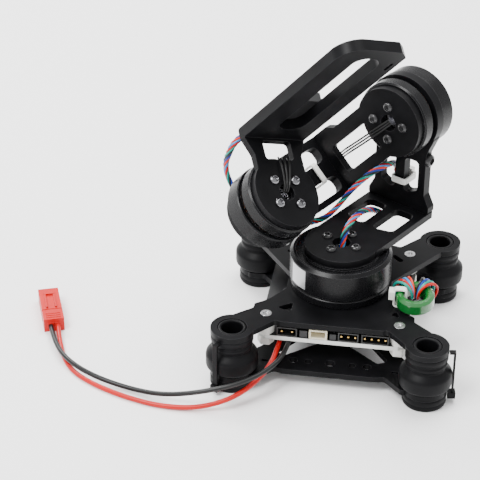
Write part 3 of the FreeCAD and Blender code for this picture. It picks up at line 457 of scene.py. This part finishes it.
def make_motor_wires(m):
    shape = bmesh.new()
    for i in (-1, 0, 1):
        shift = 0.9 * i
        route = [(25.6, 0.0, 0.8 * i), (23.7, 3.6, shift), (23.5, 12.0, 0.4 + shift),
                 (23.9, 19.0, 0.8 + shift), (26.2, 25.4, 1.2 + shift), (29.6, 29.8, 1.4 + shift),
                 (30.0, 34.6, 1.4 + shift), (28.8, 39.0, 1.4 + shift), (22.0, 38.2, 1.0 + shift),
                 (17.6, 38.0, 0.8 + shift), (14.6, 38.2, 0.8 + shift)]
        tube_into(shape, points_on(in_row(ROLL, route)), 0.34, 8)
    sleeve = [(14.7, 38.4, 0.8), (14.3, 38.4, 0.8), (11.5, 38.45, 0.85), (8.7, 38.4, 0.8), (8.5, 38.4, 0.8)]
    tube_into(shape, in_row(ROLL, sleeve), 1.25, 16, 1)
    add_piece("roll_motor_leads", shape, STILL, [m["black"], m["shrink"]], "roll_arm",
              ("roll_motor_wires",))
    shape = bmesh.new()
    for i in (-1, 0, 1):
        route = [(0.8 * i, 18.6, 0.2), (0.9 * i, 16.5, 1.4), (0.8 + 1.3 * i, 16.3, 6.0),
                 (1.3 + 1.9 * i, 16.2, 10.8), (1.7 + 1.8 * i, 17.6, 12.8)]
        tube_into(shape, points_on(in_row(PITCH, route)), 0.34, 8)
    add_piece("pitch_motor_leads", shape, STILL, [m["black"]], "camera_mount",
              ("pitch_motor_wires",))


# ------------------------------------------------------------------ dampers
def make_dampers(m):
    low = 4.15
    high = 6.25
    outer = [(6.6, 0.0), (7.2, 0.25), (7.4, 0.7), (7.4, 1.6), (7.18, 1.95), (7.4, 2.3), (7.4, 3.5),
             (7.2, 3.95), (6.8, low), (4.9, low), (4.9, high), (6.9, high), (7.5, 6.7), (8.2, 7.1),
             (8.7, 7.6), (8.85, 8.3), (8.85, 11.7), (8.7, 12.3), (8.2, 12.9), (7.5, 13.6), (6.9, 14.1),
             (6.6, 14.4), (6.6, 15.0), (6.8, 15.3), (6.95, 15.5), (6.95, 16.5), (6.8, 16.7), (6.6, 17.0),
             (6.6, 17.4), (6.9, 17.7), (7.2, 17.95), (7.25, 20.0), (7.0, 20.25), (4.9, 20.25),
             (4.9, 21.9), (4.6, 22.25), (4.1, 22.3), (3.7, 22.1), (3.6, 21.7), (3.6, 15.0), (6.2, 12.5),
             (6.2, 8.5), (3.6, 6.0), (3.6, 0.5), (4.0, 0.0)]
    shape = bmesh.new()
    for x in (-DAMPER_HALF, DAMPER_HALF):
        for y in (-DAMPER_HALF, DAMPER_HALF):
            lathe_into(shape, outer, Matrix.Translation((x, y, 0)), 72)
    add_piece("rubber_dampers", shape, STILL, [m["rubber"]], "base", ("dampers",), 0.0, 55.0)


# ------------------------------------------------------------------ screws
def button_head(shape, place, head_r, head_h, shank_r, depth):
    """Domed head with a round socket, and its shank."""
    profile = [(0, -depth), (shank_r, -depth), (shank_r, 0.0), (head_r - 0.1, 0.0), (head_r, 0.12),
               (head_r, 0.3 * head_h), (0.93 * head_r, 0.62 * head_h), (0.78 * head_r, 0.86 * head_h),
               (0.58 * head_r, head_h), (0.54 * head_r, 0.97 * head_h)]
    lathe_into(shape, profile + [(0.5 * head_r, 0.4 * head_h), (0, 0.4 * head_h)], place, 24)


def flush_head(shape, place, head_r, shank_r, depth):
    profile = [(0, -depth), (shank_r, -depth), (shank_r, -(head_r - shank_r) - 0.15), (head_r, -0.15),
               (head_r - 0.05, 0.0), (0.5 * head_r, 0.0), (0.46 * head_r, -0.5), (0, -0.5)]
    lathe_into(shape, profile, place, 28)


def around(count, radius, first):
    angles = [math.radians(first + 360.0 * i / count) for i in range(count)]
    return [(radius * math.cos(a), radius * math.sin(a)) for a in angles]


def make_screws(m):
    shape = bmesh.new()
    for x in (-BOARD_SCREW, BOARD_SCREW):
        for y in (-BOARD_SCREW, BOARD_SCREW):
            flush_head(shape, Matrix.Translation((x, y, PLATE_TOP)), 1.9, 1.4, 11.5)
    add_piece("board_screw_heads", shape, STILL, [m["steel"]], "base", ("board_screws",))

    shape = bmesh.new()
    for x, y in around(4, SCREW_RING, 0):
        button_head(shape, Matrix.Translation((x, y, ARM_TOP)), 1.8, 1.1, 0.96, 3.9)
    add_piece("arm_screw_heads", shape, YAW, [m["screw"]], "yaw_arm", ("yaw_arm_screws",))

    shape = bmesh.new()
    for s in (-1, 1):
        place = Matrix.Translation((UPRIGHT_MIDDLE, s * 8.0, 36.2)) @ Matrix.Rotation(math.pi, 4, "X")
        button_head(shape, place, 2.0, 1.2, 0.96, 7.0)
    clamp = Matrix.Translation((UPRIGHT_MIDDLE, -10.4, 59.0)) @ Matrix.Rotation(math.pi / 2, 4, "X")
    button_head(shape, clamp, 2.3, 1.5, 0.96, 5.5)
    add_piece("upright_screw_heads", shape, YAW, [m["screw"]], "yaw_arm", ("upright_screws",))

    shape = bmesh.new()
    face = Matrix.Translation((LEG_A_X, 0, 0)) @ Matrix.Rotation(-math.pi / 2, 4, "Y")
    for x, y in around(4, SCREW_RING, 45):
        button_head(shape, face @ Matrix.Translation((x, y, 0)), 1.8, 1.1, 0.96, 5.0)
    for s in (-1, 1):
        place = Matrix.Translation((26.0, LEG_B_BACK, s * 7.5)) @ Matrix.Rotation(-math.pi / 2, 4, "X")
        button_head(shape, place, 1.7, 1.0, 0.8, 8.2)
    add_piece("leg_screw_heads", shape, ROLL, [m["screw"]], "roll_arm", ("leg_a_screws",))

    shape = bmesh.new()
    face = Matrix.Translation((0, BRACKET_Y, 0)) @ Matrix.Rotation(math.pi / 2, 4, "X")
    for x, y in around(4, SCREW_RING, 45):
        button_head(shape, face @ Matrix.Translation((x, y, 0)), 1.8, 1.1, 0.96, 4.6)
    add_piece("bracket_screw_heads", shape, PITCH, [m["dark_steel"]], "camera_mount",
              ("bracket_screws",))


# ------------------------------------------------------------------ ties
def rounded_loop(x0, x1, y0, y1, steps=10):
    """Closed loop of points round a rectangle, with rounded corners."""
    r = 1.0
    loop = []
    centres = ((x1 - r, y1 - r, 0), (x0 + r, y1 - r, 90), (x0 + r, y0 + r, 180), (x1 - r, y0 + r, 270))
    for cx, cy, first in centres:
        for i in range(steps + 1):
            a = math.radians(first + 90.0 * i / steps)
            loop.append(Vector((cx + r * math.cos(a), cy + r * math.sin(a), 0)))
    loop.append(loop[0].copy())
    return loop


def make_tie(name, place, x0, x1, y0, y1, width, body, node, m):
    """Nylon cable tie: flat strap in a loop and a hollow square head."""
    shape = bmesh.new()
    loop = [p + Vector((0, 0, width / 2)) for p in rounded_loop(x0 - 0.4, x1 + 0.4, y0 - 0.4, y1 + 0.4)]
    strap_into(shape, loop, Vector((0, 0, 1)), width, 0.7)
    box_into(shape, x1 + 0.05, x1 + 2.2, y1 - 3.4, y1 - 2.5, -0.6, width + 0.6)
    box_into(shape, x1 + 0.05, x1 + 2.2, y1 - 1.1, y1 - 0.2, -0.6, width + 0.6)
    box_into(shape, x1 + 0.05, x1 + 2.2, y1 - 2.6, y1 - 1.0, -0.6, 0.1)
    box_into(shape, x1 + 0.05, x1 + 2.2, y1 - 2.6, y1 - 1.0, width - 0.1, width + 0.6)
    add_piece(name, shape, place, [m["nylon"]], body, (node,), 0.12)


def make_ties(m):
    make_tie("tie_upright", YAW @ Matrix.Translation((0, 0, 47.4)), 33.2, 39.6, -2.4, 2.4, 2.2, "yaw_arm",
             "upright_tie", m)
    turn = Matrix(((0, 0, 1, 15.2), (1, 0, 0, 0), (0, 1, 0, 0), (0, 0, 0, 1)))
    make_tie("tie_leg", ROLL @ turn, 33.0, 39.2, -3.0, 3.8, 2.2, "roll_arm", "leg_tie", m)
    turn = Matrix(((-1, 0, 0, 21.55), (0, 0, 1, -12.3), (0, 1, 0, 26.0), (0, 0, 0, 1)))
    make_tie("tie_ferrite", turn, -1.65, 1.65, -2.95, 2.95, 2.2, "base", "ferrite_tie", m)


# ------------------------------------------------------------------ ferrite winding
def make_ferrite(m):
    place = Matrix.Translation((26.6, -11.2, 26.0)) @ Matrix.Rotation(math.radians(8), 4, "X")
    colours = ("red", "teal", "blue", "black", "orange", "sky")
    shape = bmesh.new()
    for k, angle in enumerate((38, 50, 62, 74, 112, 124, 136, 148)):
        turn = place @ Matrix.Rotation(math.radians(angle), 4, "Z") @ Matrix.Translation((5.05, 0, 0))
        arc = []
        for i in range(25):
            a = math.radians(-60 + 250.0 * i / 24)
            arc.append(turn @ Vector((3.9 * math.cos(a), 0.0, 3.9 * math.sin(a))))
        tube_into(shape, arc, 0.48, 8, k % len(colours))
    add_piece("ferrite_turns", shape, STILL, [m[c] for c in colours], "base",
              ("ferrite_winding",))


# ------------------------------------------------------------------ board parts
def make_board_parts(m):
    shape = bmesh.new()
    for x0, x1, pins in ((-18.6, -11.6, 2), (2.2, 9.2, 3), (10.1, 19.4, 4)):
        box_into(shape, x0, x1, -21.0, -17.4, BOARD_TOP, BOARD_TOP + 3.6)
        box_into(shape, x0, x1, -24.9, -21.0, BOARD_TOP, BOARD_TOP + 0.5)
        box_into(shape, x0, x1, -24.9, -21.0, BOARD_TOP + 3.1, BOARD_TOP + 3.6)
        for x in (x0, x1 - 0.5):
            box_into(shape, x, x + 0.5, -24.9, -21.0, BOARD_TOP + 0.5, BOARD_TOP + 3.1)
        for i in range(pins):
            x = x0 + (x1 - x0) * (i + 0.5) / pins
            box_into(shape, x - 0.32, x + 0.32, -24.6, -21.0, BOARD_TOP + 1.5, BOARD_TOP + 2.1, STILL, 1)
    for x0, x1 in ((-17.0, -7.0), (-3.0, 7.0), (9.0, 19.0)):
        box_into(shape, x0, x1, 19.0, 24.6, BOARD_TOP, BOARD_TOP + 2.6)
    add_piece("pin_housings", shape, STILL, [m["housing"], m["gold"]], "base",
              ("board_headers",), 0.06)


def make_bell_label(m):
    """Blank foil label wrapped round part of the yaw bell."""
    shape = bmesh.new()
    inside = YAW_BELL_R - 0.01
    outside = YAW_BELL_R + 0.06
    rows = []
    for i in range(13):
        a = math.radians(148.0 + 25.0 * i / 12)
        rows.append([shape.verts.new((r * math.cos(a), r * math.sin(a), z))
                     for r, z in ((inside, 27.2), (outside, 27.2), (outside, 34.6), (inside, 34.6))])
    for a, b in zip(rows, rows[1:]):
        for i in range(4):
            j = (i + 1) % 4
            shape.faces.new([a[i], b[i], b[j], a[j]])
    shape.faces.new(rows[0])
    shape.faces.new(list(reversed(rows[-1])))
    add_piece("bell_label", shape, YAW, [m["foil"]], "yaw_arm")


# ------------------------------------------------------------------ finishes of the CAD pieces
def finish_nodes(m):
    finish = {"mount_plate": "plate", "motor_plate": "plate", "yaw_arm_plate": "plate", "upright": "plate",
              "leg_a": "plate", "leg_b": "plate", "camera_bracket": "plate", "damper_ties": "strap",
              "control_board": "board", "board_chips": "chip", "motor_socket": "cream",
              "board_spacers": "nylon", "board_nuts": "nylon", "ferrite_ring": "ferrite",
              "yaw_base_screws": "screw", "leg_b_screws": "steel", "imu_sensor": "sensor"}
    for motor in ("yaw", "roll", "pitch"):
        finish[motor + "_bell"] = "bell"
        finish[motor + "_motor_base"] = "bell"
        finish[motor + "_stator_core"] = "laminate"
        finish[motor + "_windings"] = "copper"
        finish[motor + "_magnets"] = "magnet"
        finish[motor + "_bearings"] = "bearing"
        finish[motor + "_shaft"] = "bearing"
    for node, key in finish.items():
        item = bpy.data.objects[node]
        item.data.materials.clear()
        item.data.materials.append(m[key])


# ------------------------------------------------------------------ floor and light
def area_light(name, place, target, size, power):
    data = bpy.data.lights.new(name, "AREA")
    data.shape = "SQUARE"
    data.size = size
    data.energy = power
    light = bpy.data.objects.new(name, data)
    light.location = place
    aim = Vector(target) - Vector(place)
    light.rotation_euler = aim.to_track_quat("-Z", "Y").to_euler()
    bpy.context.scene.collection.objects.link(light)


def make_stage(m):
    shape = bmesh.new()
    corners = [shape.verts.new((x, y, 0.0)) for x, y in ((-3, -3), (3, -3), (3, 3), (-3, 3))]
    shape.faces.new(corners)
    mesh = bpy.data.meshes.new("floor")
    shape.to_mesh(mesh)
    shape.free()
    mesh.materials.append(m["floor"])
    floor = bpy.data.objects.new("floor", mesh)
    bpy.context.scene.collection.objects.link(floor)
    world = bpy.data.worlds.new("studio")
    world.use_nodes = True
    world.node_tree.nodes["Background"].inputs["Color"].default_value = (1, 1, 1, 1)
    world.node_tree.nodes["Background"].inputs["Strength"].default_value = 1.25
    bpy.context.scene.world = world
    area_light("key", (-0.35, -0.35, 0.75), (0, 0, 0.05), 0.35, 9.0)
    area_light("rim", (-0.45, 0.45, 0.55), (0, 0, 0.05), 0.3, 6.0)
    area_light("top", (0.1, 0.25, 0.8), (0, 0, 0.0), 0.5, 8.0)


make_camera()
m = make_materials()
make_power_lead(m)
make_harness(m)
make_motor_wires(m)
make_dampers(m)
make_screws(m)
make_ties(m)
make_ferrite(m)
make_board_parts(m)
make_bell_label(m)
finish_nodes(m)
make_stage(m)
